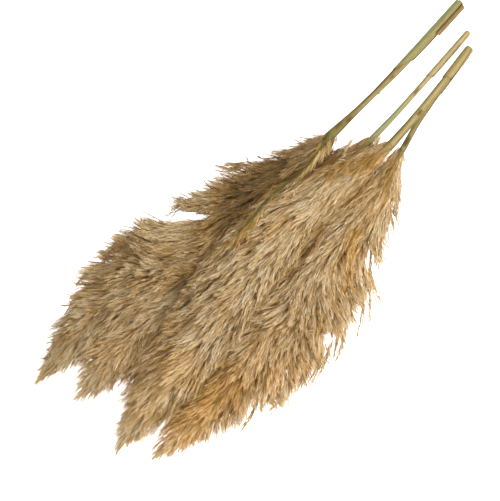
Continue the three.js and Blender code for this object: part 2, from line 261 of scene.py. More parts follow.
# Each stem: its run from the cut end, its radius and its sheath's by distance from that end, the sheath's
# length, and how much shorter that is on the right
STEMS = {
    1: {
        "culm": [[384, 56.5, 7.0], [281, 52.7, 16.5], [201, 52.2, 26.5]],
        "radius": [
            [0, 3.8], [125, 5.1], [143, 4.9], [158, 4.4], [172, 4.1],
            [202, 4.2], [216, 4.7], [232, 5.5], [254, 6.6],
        ],
        "sheath": 133, "slant": 31,
        "sheath_radius": [[0, 7.0], [62, 7.0], [103, 6.5], [133, 5.8]],
    },
    2: {
        "culm": [[363, 20.4, 5], [281, 16, 17], [214, 12.4, 27]],
        "radius": [[0, 3.1], [80, 3.5], [150, 3.6], [185, 4.2], [202, 4.6]],
        "sheath": 85, "slant": 5,
        "sheath_radius": [[0, 4.6], [85, 4.5]],
    },
    3: {
        "culm": [[348, 3.9, 16.8], [281, -3.8, 28], [225, -9.2, 38.5]],
        "radius": [[0, 4.8], [100, 5.0], [150, 5.5], [172, 6.2]],
        "sheath": 56, "slant": 4,
        "sheath_radius": [[0, 6.4], [56, 6.1]],
    },
    4: {
        "culm": [[340, 0.3, 5], [281, -7.5, 13.5], [228, -16.4, 24.5]],
        "radius": [[0, 3.3], [120, 3.8], [158, 4.3]],
        "sheath": 71, "slant": 6,
        "sheath_radius": [[0, 4.6], [71, 4.3]],
    },
}
STEM_SHIFT = 0.6  # how far the worked stems lie to the right of the solids
LEAF_WIDTH = 7.6  # of the torn leaf base, which starts this far from the culm's middle, at this angle
LEAF_START = 7.3
LEAF_TURN = 1.1
LIT = 0.64  # share of a surface's shown brightness that is its own colour
# Stem colours as they show in this light, their light and shade painted in: from the left side of the stem
# over its top to the right
CULM_COLOURS = {
    1: [(104, 86, 46), (172, 154, 98), (166, 154, 102)],
    2: [(176, 158, 112), (206, 188, 128), (200, 176, 120)],
    3: [(150, 136, 84), (198, 178, 122), (146, 126, 76)],
    4: [(146, 148, 90), (176, 160, 100), (138, 110, 66)],
}
SHEATH_COLOURS = {
    1: [(150, 154, 98), (178, 168, 112), (164, 140, 90)],
    2: [(194, 168, 116), (214, 192, 134), (208, 186, 134)],
    3: [(162, 148, 90), (198, 174, 116), (166, 144, 90)],
    4: [(150, 150, 96), (178, 160, 104), (138, 112, 68)],
}
GREEN = (166, 176, 124)
BROWN = (104, 66, 36)
PITH = (222, 206, 160)
GRAIN_SCALE = (70, 1100, 1100)  # of the grain of dry fibre, along the stems and across
TORN_LEAF = (158, 126, 80)
SHEATH_EDGE_BROWN = {1: 1.0, 2: 0.45, 3: 0.45, 4: 0.45}
NUB = (167, -0.1, 1.6)  # a bud on the first culm: distance, angle, height
# Rachis colours as they show in this light, their light and shade painted in: left side, top, right side
RACHIS_COLOURS = {
    1: [(84, 78, 40), (138, 132, 74), (124, 116, 64)],
    2: [(140, 130, 82), (186, 172, 116), (160, 136, 84)],
    3: [(132, 120, 70), (178, 154, 100), (136, 112, 64)],
    4: [(132, 126, 76), (160, 142, 88), (124, 96, 56)],
}
# How far each rachis shows, how high it lies and how much higher farther on, the racemes that leave it
# there, the share of them on its right, the share of its length up to which those are pale, their colour,
# and the places of other colour and of painted light and shade that are laid over them; those on its left
# are painted in shade
LOW_RACHIS = {"above": 0.6, "rising": 0, "right": 0.5, "pale": 0.3, "patches": PATCHES}
RACHIS = {
    1: {
        "length": 205, "above": 8.5, "rising": 3.5, "racemes": 240, "right": 0.6, "pale": 0.65,
        "tint": (0.72, 0.57, 0.31), "patches": {},
    },
    2: {**LOW_RACHIS, "length": 46, "racemes": 50, "tint": (0.64, 0.49, 0.245)},
    3: {**LOW_RACHIS, "length": 64, "racemes": 60, "tint": (0.66, 0.5, 0.26)},
    4: {**LOW_RACHIS, "length": 46, "racemes": 50, "tint": (0.65, 0.49, 0.245)},
}
# Marks on the stems: distance from the cut end, or on a rachis from its start, angle from the right side,
# half length, half width, colour
RACHIS_MARKS = {1: [[22, 1.4, 9, 0.6, (96, 66, 38)], [110, 1.6, 80, 3, (96, 90, 50)]]}
CULM_MARKS = {
    1: [
        [185, 2.75, 36, 0.45, BROWN],
        [123, 1.9, 5, 0.3, (176, 112, 54)],
        [140, 1.3, 4, 0.25, (150, 96, 50)],
        [232, 1.4, 28, 1.7, (142, 130, 72)],
        [222, 1.2, 5, 0.4, BROWN],
        [228, 0.5, 22, 0.3, (112, 84, 48)],
        [238, 2.0, 6, 0.4, (120, 84, 46)],
    ],
    2: [
        [110, 1.5, 6, 0.5, (128, 92, 56)],
        [168, 1.2, 34, 1.1, GREEN],
        [168, 2.7, 34, 0.4, (126, 106, 78)],
    ],
    3: [
        [115, 1.4, 5, 0.5, BROWN],
        [150, 2.5, 26, 0.35, (120, 104, 60)],
        [150, 0.7, 26, 0.3, (128, 104, 62)],
    ],
    4: [[74, 1.8, 4, 0.7, BROWN], [148, 1.6, 8, 0.6, (92, 60, 36)], [110, 0.5, 40, 0.4, (112, 80, 48)]],
}


def path_lengths(path):
    """How far along a path each of its points is."""
    return np.concatenate([[0], np.cumsum(np.linalg.norm(np.diff(path, axis=0), axis=1))])


def smooth_curve(points, count):
    """Points spaced evenly along a smooth curve through rows whose first three values are a place."""
    rows = np.array(points, float)
    rows = np.vstack([2 * rows[0] - rows[1], rows, 2 * rows[-1] - rows[-2]])
    step = np.sqrt(np.linalg.norm(np.diff(rows[:, :3], axis=0), axis=1))
    pieces = []
    for k in range(1, len(rows) - 2):
        before, here, after = step[k - 1 : k + 2]
        a, b, c, d = rows[k - 1 : k + 3]
        leave = ((b - a) / before - (c - a) / (before + here) + (c - b) / here) * here
        arrive = ((c - b) / here - (d - b) / (here + after) + (d - c) / after) * here
        u = np.linspace(0, 1, 24, endpoint=False)[:, None]
        bend = 3 * (c - b) - 2 * leave - arrive
        twist = 2 * (b - c) + leave + arrive
        pieces.append(b + leave * u + bend * u**2 + twist * u**3)
    dense = np.vstack([*pieces, rows[-2:-1]])
    travelled = path_lengths(dense[:, :3])
    even = np.linspace(0, travelled[-1], count)
    return np.stack([np.interp(even, travelled, dense[:, i]) for i in range(rows.shape[1])], axis=1)


def unit(v):
    return v / np.maximum(np.linalg.norm(v, axis=-1, keepdims=True), 1e-9)


def frames(points):
    """Directions along a path, to its right as seen from above, and upwards."""
    along = unit(np.gradient(points, axis=0))
    side = unit(np.cross(UP, along))
    return along, side, np.cross(along, side)


class Plume:
    """The frame of one plume: middle, directions and half width at any share of its length."""

    def __init__(self, spec):
        self.spec = spec
        self.grid = smooth_curve(spec["spine"], SPINE_POINTS)
        self.length = path_lengths(self.grid[:, :3])[-1]
        self.columns = np.hstack([self.grid, *frames(self.grid[:, :3])])
        rachis = smooth_curve(spec.get("rachis", self.grid[::40, :3]), 200)[::-1]
        nearness = np.clip((self.grid[:, 0] - rachis[0, 0]) / 60, 0, 1)
        offset = [np.interp(self.grid[:, 0], rachis[:, 0], rachis[:, i]) - self.grid[:, i] for i in (1, 2)]
        self.offset = np.stack(offset, axis=1) * nearness[:, None]

    def at(self, t):
        inside = np.clip(t, 0, 1)
        where = inside * (len(self.grid) - 1)
        low = np.minimum(where.astype(int), len(self.grid) - 2)
        share = (where - low)[..., None]
        row = self.columns[low] * (1 - share) + self.columns[low + 1] * share
        middle = row[..., :3] + row[..., 4:7] * ((t - inside) * self.length)[..., None]
        return middle, row[..., 4:7], row[..., 7:10], row[..., 10:13], np.maximum(row[..., 3], 1.0)

    def rachis_offset(self, t):
        """How far, in y and z, the rachis lies from the spine's middle."""
        where = np.clip(t, 0, 1) * (len(self.grid) - 1)
        return self.offset[where.astype(int)]

    def crossing(self, x):
        """Its y, z and half width where it crosses planes of constant x."""
        rising = self.grid[::-1]
        return [np.interp(x, rising[:, 0], rising[:, i]) for i in (1, 2, 3)]

    def top(self, x, y):
        """How high its upper side lies over a point of the floor, -1 where it doesn't."""
        my, mz, w = self.crossing(x)
        reach = w**2 - (y - my) ** 2
        return np.where(reach > 0, mz + self.spec["flatness"] * np.sqrt(np.maximum(reach, 0)), -1)


def parting(points, own, other):
    """The way towards another plume, and how far points are from where it parts from their own."""
    y, z, w = own.crossing(points[..., 0])
    oy, oz, ow = other.crossing(points[..., 0])
    w, ow = np.maximum(w, 4), np.maximum(ow, 4)
    apart = np.hypot(oy - y, oz - z)
    dy, dz = (oy - y) / apart, (oz - z) / apart
    depth = (points[..., 1] - y) * dy + (points[..., 2] - z) * dz
    return dy, dz, apart * w / (w + ow) - depth


def bend_clear(points, own, others, margin):
    """Moves points back to their own plume's side of the surfaces that part it from its neighbours."""
    p = points.copy()
    for _ in range(2):
        for other in others:
            dy, dz, room = parting(p, own, other)
            excess = np.maximum(margin - room, 0)
            p[..., 1] -= excess * dy
            p[..., 2] -= excess * dz
    return p


def meeting(points, own, others):
    """1 where points lie against a neighbouring plume, 0 where none is near."""
    room = np.min([parting(points, own, other)[2] for other in others], axis=0)
    return np.clip(1 - room / MEETING, 0, 1)


def sample(curves, at):
    """Points on curves of shape (n, k, 3) at shares of shape (n, m), and the curves' directions there."""
    k = curves.shape[1]
    where = np.clip(at, 0, 1) * (k - 1)
    low = np.minimum(where.astype(int), k - 2)
    share = (where - low)[..., None]
    rows = np.arange(len(curves))[:, None]
    a, b = curves[rows, low], curves[rows, low + 1]
    return a * (1 - share) + b * share, unit(b - a)


def last_stretch(curves, length):
    """The ends of curves, of the given lengths, each as RACEME_POINTS points."""
    step = np.linalg.norm(np.diff(curves, axis=1), axis=2)
    travelled = np.concatenate([np.zeros((len(curves), 1)), np.cumsum(step, axis=1)], axis=1)
    whole = travelled[:, -1]
    back = np.minimum(length, whole)[:, None] * np.linspace(1, 0, RACEME_POINTS)
    shares = np.linspace(0, 1, curves.shape[1])
    at = np.array([np.interp(s, t, shares) for s, t in zip(whole[:, None] - back, travelled)])
    return sample(curves, at)[0]


def across(direction, hint):
    """Two directions square to the given one, the first nearest the hint."""
    second = unit(np.cross(direction, hint))
    first = np.cross(second, direction)
    return unit(first), second


def between(first, second, angle):
    """Directions turned by angles from the first one towards the second."""
    return first * np.cos(angle)[..., None] + second * np.sin(angle)[..., None]


def end_way(curves):
    return unit(curves[:, -1] - curves[:, -2])


def spread_tips(plume, count, draw):
    """Places of raceme tips: shares of the plume's length and angles round it, even over its skin."""
    order = np.arange(count) + 0.5
    shares = (np.arange(400) + 0.5) / 400
    total = np.cumsum(plume.at(shares)[4] + 5)
    t = np.interp((order * EVEN_STEPS[0] % 1) * total[-1], total, shares)
    angles = np.linspace(-math.pi, math.pi, 721)
    flat = plume.spec["flatness"]
    crowd = 1 + (UPPER_SHARE - 1) / (1 + np.exp(-6 * np.sin(angles)))
    total = np.cumsum(np.hypot(np.sin(angles), flat * np.cos(angles)) * crowd)
    angle = np.interp((order * EVEN_STEPS[1] % 1) * total[-1], total, angles)
    t = t + draw.normal(0, 0.006, count)
    return 0.012 + 0.975 * np.clip(t, 0, 1), angle + draw.normal(0, 0.06, count)


def skin_point(plume, t, angle, radius):
    """A point at a distance from the spine, squeezed flat as the plume is, with its outward direction."""
    middle, along, side, rise, _ = plume.at(t)
    flat = plume.spec["flatness"]
    cos, sin = np.cos(angle)[..., None], np.sin(angle)[..., None]
    point = middle + (side * cos + rise * flat * sin) * radius[..., None]
    return point, unit(side * flat * cos + rise * sin), along


def racemes_to(plume, others, t, angle, inside, lift, length, draw):
    """Racemes that leave the rachis, lean out and end at the given places under or over the skin."""
    width = plume.at(t)[4]
    radius = np.maximum(width - EDGE, 1.5) * lift
    skin, _, _ = skin_point(plume, t, angle, radius)
    close = meeting(skin, plume, others)
    radius = radius * (1 - inside) * (1 + 0.35 * close)
    left, right = plume.spec["arch"]
    arch = (right + (left - right) * (1 - np.cos(angle)) / 2) * (1 - 0.6 * close)
    reach = plume.spec["reach"] * draw.uniform(0.85, 1.15, len(t))
    reach = np.minimum(reach, t * plume.length + 8)
    s = np.linspace(0, 1, 17)
    t_path = t[:, None] - (reach[:, None] / plume.length) * (1 - s)
    room = np.maximum(plume.at(t_path)[4] * 1.15, radius[:, None] * 0.5)
    r_path = np.minimum(radius[:, None] * s ** arch[:, None], room)
    points, outward, along = skin_point(plume, t_path, angle[:, None] + 0 * s, r_path)
    points[..., 1:] += plume.rachis_offset(t_path) * (1 - s**0.8)[None, :, None]
    points = last_stretch(points, length)
    run = points[:, -1] - points[:, 0]
    along = along[:, -1]
    cross = run[:, 0] * along[:, 1] - run[:, 1] * along[:, 0]
    turn = np.arctan2(cross, (run[:, :2] * along[:, :2]).sum(axis=1))
    return swung(points, MEETING_TURN * close * turn), outward[:, -1]


def settle(points, plume, others):
    """Keeps racemes to their own plume's side and off the floor."""
    points = bend_clear(points, plume, others, -CROSSING)
    points[..., 2] = np.maximum(points[..., 2], 2.5)
    return points


def gathered(points, outward, width, plume, draw):
    """Racemes drawn towards the middle of the nearest lock, large locks first, and how light each is."""
    tone = np.ones(len(points))
    v = np.linspace(0, 1, points.shape[1])
    scale = np.clip(width / 40, 0.3, 1)[:, None]
    for lock in LOCKS:
        count = lock["count"]
        lock_t, lock_angle = spread_tips(plume, count, draw)
        centre, _, _ = skin_point(plume, lock_t, lock_angle, plume.at(lock_t)[4] - EDGE)
        tip, along = points[:, -1], end_way(points)
        gap = centre[None, :, :] - tip[:, None, :]
        along_gap = np.einsum("ijk,ik->ij", gap, along)
        apart = (gap**2).sum(axis=2) - (1 - 1 / lock["stretch"] ** 2) * along_gap**2
        owner = apart.argmin(axis=1)
        rows = np.arange(len(points))
        ahead = along_gap[rows, owner]
        off = np.sqrt(np.maximum(apart[rows, owner], 0))
        inward = np.clip(1 - off / np.median(off), -1, 1)
        pull = (gap[rows, owner] - along * ahead[:, None]) * lock["pull"]
        height = lock["rise"] * np.clip(-ahead / 30, -1, 1) + draw.normal(0, lock["lift"], count)[owner]
        height += DOME * inward
        run = lock["run"] * inward + draw.normal(0, lock["uneven"], count)[owner]
        pull = (pull + outward * height[:, None] + along * run[:, None]) * scale
        sway = draw.normal(0, lock["sway"], count)[owner] + draw.normal(0, 0.05, len(points))
        reach = np.linalg.norm(tip - points[:, 0], axis=1) * np.tan(sway)
        sideways = np.cross(along, outward) * reach[:, None] * scale
        points = points + pull[:, None, :] * (v**1.5)[None, :, None]
        points = points + sideways[:, None, :] * v[None, :, None]
        # Random tone for each lock, and painted shade: its sides darker than its middle
        tone *= 1 + draw.normal(0, lock["tone"], count)[owner] + LOCK_PAINTED_SHADE * inward
    return points, tone


def swung(points, turn):
    """Racemes turned about their tips, seen from above."""
    tip = points[:, -1:]
    x, y = (points - tip)[..., 0], (points - tip)[..., 1]
    cos, sin = np.cos(turn)[:, None], np.sin(turn)[:, None]
    points = points.copy()
    points[..., 0] = tip[..., 0] + x * cos - y * sin
    points[..., 1] = tip[..., 1] + x * sin + y * cos
    return points


def combed(points):
    """Racemes turned aside as they lie in the bundle."""
    turn = np.zeros(len(points))
    for x, y, degrees in COMBED:
        gap = (points[:, -1, 0] - x) ** 2 + (points[:, -1, 1] - y) ** 2
        turn += math.radians(degrees) * np.exp(-gap / COMB_REACH**2)
    return swung(points, turn)


def cleared(number, kind, draw):
    """The racemes of a kind that stay out of the clearings in a plume's sides."""
    count = len(kind[0])
    keep = np.ones(count, bool)
    for _, start, end, outer_half, inner_half in (c for c in CLEARINGS if c[0] == number):
        a, run = np.array(start, float), np.subtract(end, start)
        ragged = draw.uniform(0.7, 1.15, count)
        for place in (kind[0][:, -1, :2], kind[0][:, 3, :2]):
            share = np.clip(((place - a) @ run) / (run @ run), -0.5, 1)
            half = outer_half + (inner_half - outer_half) * share
            keep &= np.linalg.norm(place - a - share[:, None] * run, axis=1) > half * ragged
    return picked(kind, keep)


def raceme_length(plume, t, draw, low=RACEME_LENGTH[0], high=RACEME_LENGTH[1]):
    return draw.uniform(low, high, len(t)) * np.clip(0.5 + plume.at(t)[4] / 60, 0.55, 1)


def outer_racemes(plume, others, draw):
    t, angle = spread_tips(plume, OUTER, draw)
    inside = draw.uniform(0, 1, OUTER) ** 1.6 * 0.22
    length = raceme_length(plume, t, draw)
    points, outward = racemes_to(plume, others, t, angle, inside, 1.0, length, draw)
    # fewer where a neighbour hides them, and at the plume's tip
    tip = points[:, -1]
    cover = np.max([p.top(tip[:, 0], tip[:, 1]) for p in others], axis=0) - tip[:, 2]
    keep = draw.uniform(0, 1, OUTER) > 0.6 * np.clip(cover / 10 - 1, 0, 1)
    keep &= draw.uniform(0, 1, OUTER) > (t - 0.9) / 0.07
    points, outward, angle, inside = points[keep], outward[keep], angle[keep], inside[keep]
    width = plume.at(t[keep])[4]
    points, tone = gathered(points, outward, width, plume, draw)
    points = combed(points)
    # Random tone; painted shade: racemes that end deeper inside are darker
    tone = tone * draw.uniform(0.84, 1.16, len(tone)) * (1 - inside)
    # Painted shade: the racemes at the right rim, which face the key light, are painted darker and cooler
    right_side = np.exp(-((np.sin(angle) / 0.4) ** 2)) * (np.cos(angle) > 0)
    rim = right_side * (meeting(points[:, -1], plume, others) == 0)
    warm = draw.normal(0, 0.07, len(tone)) - RIM_PAINTED_COOL * rim
    return settle(points, plume, others), outward, tone * (1 - RIM_PAINTED_SHADE * rim), warm, angle


def under_racemes(plume, others, draw):
    t, angle = spread_tips(plume, UNDER, draw)
    t = t * 0.9
    inside = draw.uniform(0.2, 0.42, UNDER)
    length = raceme_length(plume, t, draw, 30, 52) * 1.1
    points, outward = racemes_to(plume, others, t, angle, inside, 1.0, length, draw)
    # Painted shade: these deeper racemes are darker and warmer
    tone = draw.uniform(0.62, 0.85, UNDER)
    return settle(combed(points), plume, others), outward, tone, draw.normal(0.1, 0.1, UNDER), angle


def tip_racemes(plume, others, draw):
    """Long racemes that close to a point at the plume's tip."""
    t = draw.uniform(0.87, 0.985, TIP)
    angle = draw.uniform(-math.pi, math.pi, TIP)
    inside = draw.uniform(0, 0.8, TIP)
    length = draw.uniform(34, 56, TIP)
    points, outward = racemes_to(plume, others, t, angle, inside, 1.0, length, draw)
    tone = draw.uniform(0.8, 1.12, TIP)
    points = swung(points, draw.normal(0, 0.1, TIP))
    along = end_way(points)
    aside = np.cross(along, outward) * draw.normal(0, 2.2, TIP)[:, None]
    fan = aside + along * draw.uniform(0, 6, TIP)[:, None]
    points = points + fan[:, None, :] * np.linspace(0, 1, RACEME_POINTS)[None, :, None] ** 1.5
    return settle(points, plume, others), outward, tone, draw.normal(0, 0.1, TIP), angle


def loose_racemes(plume, others, draw):
    """Racemes that stand out of the plume's outline, mostly at its sides."""
    t, _ = spread_tips(plume, LOOSE, draw)
    angle = np.where(draw.uniform(0, 1, LOOSE) < 0.5, 0, math.pi) + draw.normal(0, 0.5, LOOSE)
    lift = draw.uniform(1.0, 1.1, LOOSE)
    length = raceme_length(plume, t, draw, 26, 44) * 0.8
    points, outward = racemes_to(plume, others, t, angle, 0.0, lift, length, draw)
    free = meeting(points[:, -1], plume, others) < 0.1
    sway = np.tan(draw.normal(0, 0.3, LOOSE)) * length
    along = end_way(points)
    v = np.linspace(0, 1, RACEME_POINTS) ** 2
    points = points + (np.cross(along, outward) * sway[:, None])[:, None, :] * v[None, :, None]
    tone = draw.uniform(0.65, 0.95, LOOSE)
    kind = (settle(combed(points), plume, others), outward, tone, draw.normal(-0.1, 0.1, LOOSE), angle)
    return picked(kind, free)


def wisps(number, draw):
    """The listed loose branchlets of a plume."""
    paths = [path for path in WISPS[number] for _ in range(WISP_COPIES)]
    points = np.array([smooth_curve(path, RACEME_POINTS) for path in paths])
    count = len(points)
    points += draw.normal(0, 1.6, (count, 1, 3)) * np.linspace(0.3, 1.3, RACEME_POINTS)[:, None]
    outward = np.tile(UP, (count, 1))
    return points, outward, draw.uniform(0.65, 0.95, count), draw.normal(-0.1, 0.1, count), np.zeros(count)


def spikelets(racemes, per_raceme, outward, width, size, draw):
    """Spikelets of slim bent diamonds: each hair's four corners, its spikelet's raceme and place on it."""
    count = len(racemes) * per_raceme
    owner = np.repeat(np.arange(len(racemes)), per_raceme)
    order = np.tile(np.arange(per_raceme), len(racemes))
    place = (order + draw.uniform(0, 1, count)) / per_raceme
    base, tangent = sample(racemes[owner], place[:, None])
    base, tangent = base[:, 0], tangent[:, 0]
    length = size * draw.uniform(*SPIKELET_LENGTH, count) * (1.1 - 0.4 * place)
    azimuth = draw.uniform(-1.9, 1.9, count)
    least, more = SPIKELET_LEAN
    lean = np.radians(np.abs(draw.normal(0, 1, count)) * more + least) * (1.15 - 0.5 * place)
    first, second = across(tangent, outward[owner])
    away = between(first, second, azimuth)
    way = between(tangent, away, lean)
    beside = between(first * 0.5, second, azimuth)
    start = base + beside * (draw.uniform(0, 1, count) * size * SPREAD * (1.15 - place))[:, None]
    roll = draw.normal(0, 0.45, count)
    flat, edge = across(way, outward[owner])
    turned = between(edge, flat, roll)
    corners = []
    for hair in range(HAIRS):
        fan = np.radians((hair - (HAIRS - 1) / 2) * HAIR_FAN + draw.normal(0, 2.0, count))
        hair_way = unit(way + turned * np.tan(fan)[:, None] + draw.normal(0, 0.03, (count, 3)))
        hair_length = (length * draw.uniform(0.7, 1.05, count))[:, None]
        half = turned * (draw.uniform(*width, count) / 2)[:, None]
        middle = start + hair_way * 0.42 * hair_length
        tip = start + hair_way * hair_length - away * 0.06 * hair_length
        corners.append(np.stack([start, middle + half, tip, middle - half], axis=1))
    return np.stack(corners, axis=1), owner, place


def spikelet_shades(tone, warm, place, draw):
    """How light and how warm each corner of each hair is: painted shade, darker at the raceme's inner end
    and at the root and warmer where darker, and a painted highlight, pale at the tip.
    """
    count = len(place)
    value = tone * draw.uniform(0.66, 1.3, count) * (0.86 + 0.24 * place)
    value = value[:, None] * draw.uniform(0.85, 1.15, (count, HAIRS))
    value = value[..., None] * np.array(HAIR_TONES)
    value = np.where(value > BRIGHT, BRIGHT + 0.35 * (value - BRIGHT), value)
    warm = (warm + draw.normal(0, 0.04, count))[:, None, None] + np.array(HAIR_WARMTHS)
    return value, warm + 0.01 + np.minimum(PAINTED_SHADE_WARMTH * (1 - value), WARMEST)


def patched(patches, number, points, tone, warm):
    """Tone and warmth with the patches of other colour and of painted light and shade on a plume laid over
    them.
    """
    tone, warm = tone.copy(), warm.copy()
    own = [place for sharing, places in patches.items() if number in sharing for place in places]
    for x, y, radius, light, heat in own:
        gap = (points[:, 0] - x) ** 2 + (points[:, 1] - y) ** 2
        near = np.exp(-((gap / (0.72 * radius) ** 2) ** 1.2))
        tone *= 1 - (1 - light) * near
        warm += (heat - 0.3 * (1 - light)) * near
    return tone, warm


def linked(name, data):
    obj = bpy.data.objects.new(name, data)
    bpy.context.scene.collection.objects.link(obj)
    return obj


def paint(mesh, colours):
    layer = mesh.color_attributes.new("tint", "FLOAT_COLOR", "POINT")
    rgba = np.concatenate([colours, np.ones((len(colours), 1))], axis=1)
    layer.data.foreach_set("color", rgba.astype(np.float32).ravel())


def diamond_mesh(name, corners, value, warm, tint):
    """One mesh of diamonds, two triangles each, with a map laid out by colour."""
    n = len(corners)
    points = ((corners + TO_ORIGIN) * MM).reshape(-1, 3).astype(np.float32)
    mesh = bpy.data.meshes.new(name)
    mesh.vertices.add(len(points))
    mesh.vertices.foreach_set("co", points.ravel())
    first = np.arange(n, dtype=np.int32)[:, None] * 4
    loops = (first + np.array([0, 1, 3, 1, 2, 3], np.int32)).ravel()
    mesh.loops.add(len(loops))
    mesh.loops.foreach_set("vertex_index", loops)
    mesh.polygons.add(2 * n)
    mesh.polygons.foreach_set("loop_start", np.arange(2 * n, dtype=np.int32) * 3)
    mesh.update(calc_edges=True)
    value, heat = value.ravel(), (value * warm).ravel()
    colours = np.array(tint) * np.stack([value + WARM_RED * heat, value, value - WARM_BLUE * heat], axis=1)
    paint(mesh, np.clip(colours, 0.005, 0.95))
    layout = np.stack([value / 1.9, 0.35 + heat / 2.2], axis=1).clip(0.002, 0.998)
    layer = mesh.uv_layers.new(name="OFBake", do_init=False)
    layer.uv.foreach_set("vector", layout[loops].astype(np.float32).ravel())
    mesh.validate()
    return linked(name, mesh)


def grid_mesh(name, points, colours):
    """A closed mesh from a grid of points, whose rows close into rings, with flat ends."""
    rows, columns = points.shape[:2]
    faces = []
    for row in range(rows - 1):
        for k in range(columns):
            a, b = row * columns + k, row * columns + (k + 1) % columns
            faces.append((a, a + columns, b + columns, b))
    faces.append(tuple(range(columns)))
    faces.append(tuple(range((rows - 1) * columns, rows * columns))[::-1])
    mesh = bpy.data.meshes.new(name)
    mesh.from_pydata(((points + TO_ORIGIN) * MM).reshape(-1, 3).tolist(), [], faces)
    mesh.polygons.foreach_set("use_smooth", [len(f) == 4 for f in faces])
    paint(mesh, colours.reshape(-1, 3))
    return linked(name, mesh)


def core_mesh(name, plume, others, draw):
    """The plume's dense middle, which closes the view between its racemes, painted dark for the shade
    inside.
    """
    rows, columns = 90, 36
    t = np.linspace(0.02, CORE_END, rows)[:, None] + np.zeros(columns)
    angle = np.linspace(0, 2 * math.pi, columns, endpoint=False) + np.zeros((rows, 1))
    radius = plume.at(t)[4] * CORE * (1 + draw.normal(0, 0.05, t.shape))
    skin, _, _ = skin_point(plume, t, angle, plume.at(t)[4])
    radius = radius * (1 + 1.1 * meeting(skin, plume, others))
    middle, spread, slimmer, aside = plume.spec.get("pinch", NO_PINCH)
    near = np.exp(-(((skin[..., 0] - middle) / spread) ** 2))
    points, _, _ = skin_point(plume, t, angle, radius * (1 - slimmer * near))
    points[..., 1] -= aside * near
    points = bend_clear(points, plume, others, 0.2)
    points[..., 2] = np.maximum(points[..., 2], 5.0)
    value = CORE_PAINTED_SHADE * draw.uniform(0.7, 1.3, t.shape)
    brown = np.array(plume.spec["tint"]) * CORE_BROWN
    return grid_mesh(name, points, brown * value[..., None])


def handed_over(piece, node, material):
    piece.data.materials.append(material)
    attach(piece, "root")
    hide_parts(node)


def hair_piece(name, kinds, number, patches, tint, material, draw):
    """A piece of a plume, from several kinds of raceme."""
    parts = []
    for kind, (points, outward, tone, warm, _) in kinds.items():
        per_raceme, width, size = KINDS[kind]
        tone, warm = patched(patches, number, points[:, 3], tone, warm)
        hair, owner, place = spikelets(points, per_raceme, outward, width, size, draw)
        value, heat = spikelet_shades(tone[owner], warm[owner], place, draw)
        parts.append((hair.reshape(-1, 4, 3), value.reshape(-1, 4), heat.reshape(-1, 4)))
    corners, value, heat = (np.concatenate(rows) for rows in zip(*parts))
    corners[..., 2] = np.maximum(corners[..., 2], FLOOR_GAP + 0.02 * np.abs(corners[..., 2]))
    for axis, limit in ((1, WIDE), (2, LOFTY)):
        beyond = np.maximum(np.abs(corners[..., axis]) - limit, 0)
        corners[..., axis] -= np.sign(corners[..., axis]) * DRAWN_BACK * beyond
    piece = diamond_mesh(name, corners, value, heat, tint)
    handed_over(piece, f"plume_{number}", material)


def picked(kind, chosen):
    return tuple(part[chosen] for part in kind)


def build_plume(number, plumes):
    plume = plumes[number]
    others = [p for k, p in plumes.items() if k != number]
    draw = np.random.default_rng(101 * number)
    makers = (outer_racemes, under_racemes, tip_racemes, loose_racemes)
    kinds = [make(plume, others, draw) for make in makers]
    outer, under, tip, loose = (cleared(number, kind, draw) for kind in kinds)
    above = np.sin(outer[4]) > -0.1
    material = hair_material(f"plume_hair_{number}")
    upper = {"upper": picked(outer, above), "tip": tip, "loose": loose}
    if number in WISPS:
        upper["wisp"] = wisps(number, draw)
    lower = {"lower": picked(outer, ~above), "under": under}
    for side, kinds in (("upper", upper), ("lower", lower)):
        hair_piece(f"plume_{number}_{side}", kinds, number, PATCHES, plume.spec["tint"], material, draw)
    core = core_mesh(f"plume_{number}_core", plume, others, draw)
    handed_over(core, f"plume_{number}", fibre_material(f"plume_core_{number}", 0.8, 0.4))


def crest(x, y, plumes):
    """How high the plumes' upper sides lie over points of the floor."""
    return np.max([p.top(x, y) for p in plumes.values()], axis=0)


def rachis_path(number, plumes):
    """A plume's rachis where it shows: on from the culm, up to the plumes' upper side and down in them."""
    spec, own = PLUMES[number], RACHIS[number]
    rows = smooth_curve(spec.get("rachis", spec["spine"]), RACHIS_POINTS)[:, :3]
    to_culm = culm_path(number, CULM_POINTS)[-1] - rows[0]
    rows += to_culm * np.linspace(1, 0, RACHIS_POINTS)[:, None] ** 4
    run = path_lengths(rows)
    length, rising = own["length"], own["rising"]
    start = rows[0, 2]
    rise = np.clip(run / 24, 0, 1) ** 0.7
    above = own["above"] + rising * np.clip((run - 75) / 40, 0, 1)
    sink = (9 + rising) * np.clip((run - 0.8 * length) / (0.2 * length), 0, 1)
    top = np.maximum(crest(rows[:, 0], rows[:, 1], plumes), start + 2) + above - sink
    rows[:, 2] = start + (top - start) * rise
    rows[:, 2] = np.convolve(np.pad(rows[:, 2], 10, mode="edge"), np.ones(21) / 21, mode="valid")
    rows[0, 2] = start
    return smooth_curve(rows[run < length][::4], 90)


def build_rachis(number, plumes, material):
    draw = np.random.default_rng(70 + number)
    path = rachis_path(number, plumes)
    wide = STEMS[number]["radius"][-1][1]
    radii = [[0, wide], [14, 0.65 * wide], [30, 0.3 * wide], [50, 1.7], [200, 1.4]]
    distance, angle, radius = stalk(path, 14, radii, 0.08, 8, draw)
    colours = stem_colours(RACHIS_COLOURS[number], angle, distance, RACHIS_MARKS.get(number, []), draw)
    piece = grid_mesh(f"plume_{number}_rachis", around(path, angle, radius), colours)
    handed_over(piece, f"plume_{number}", material)


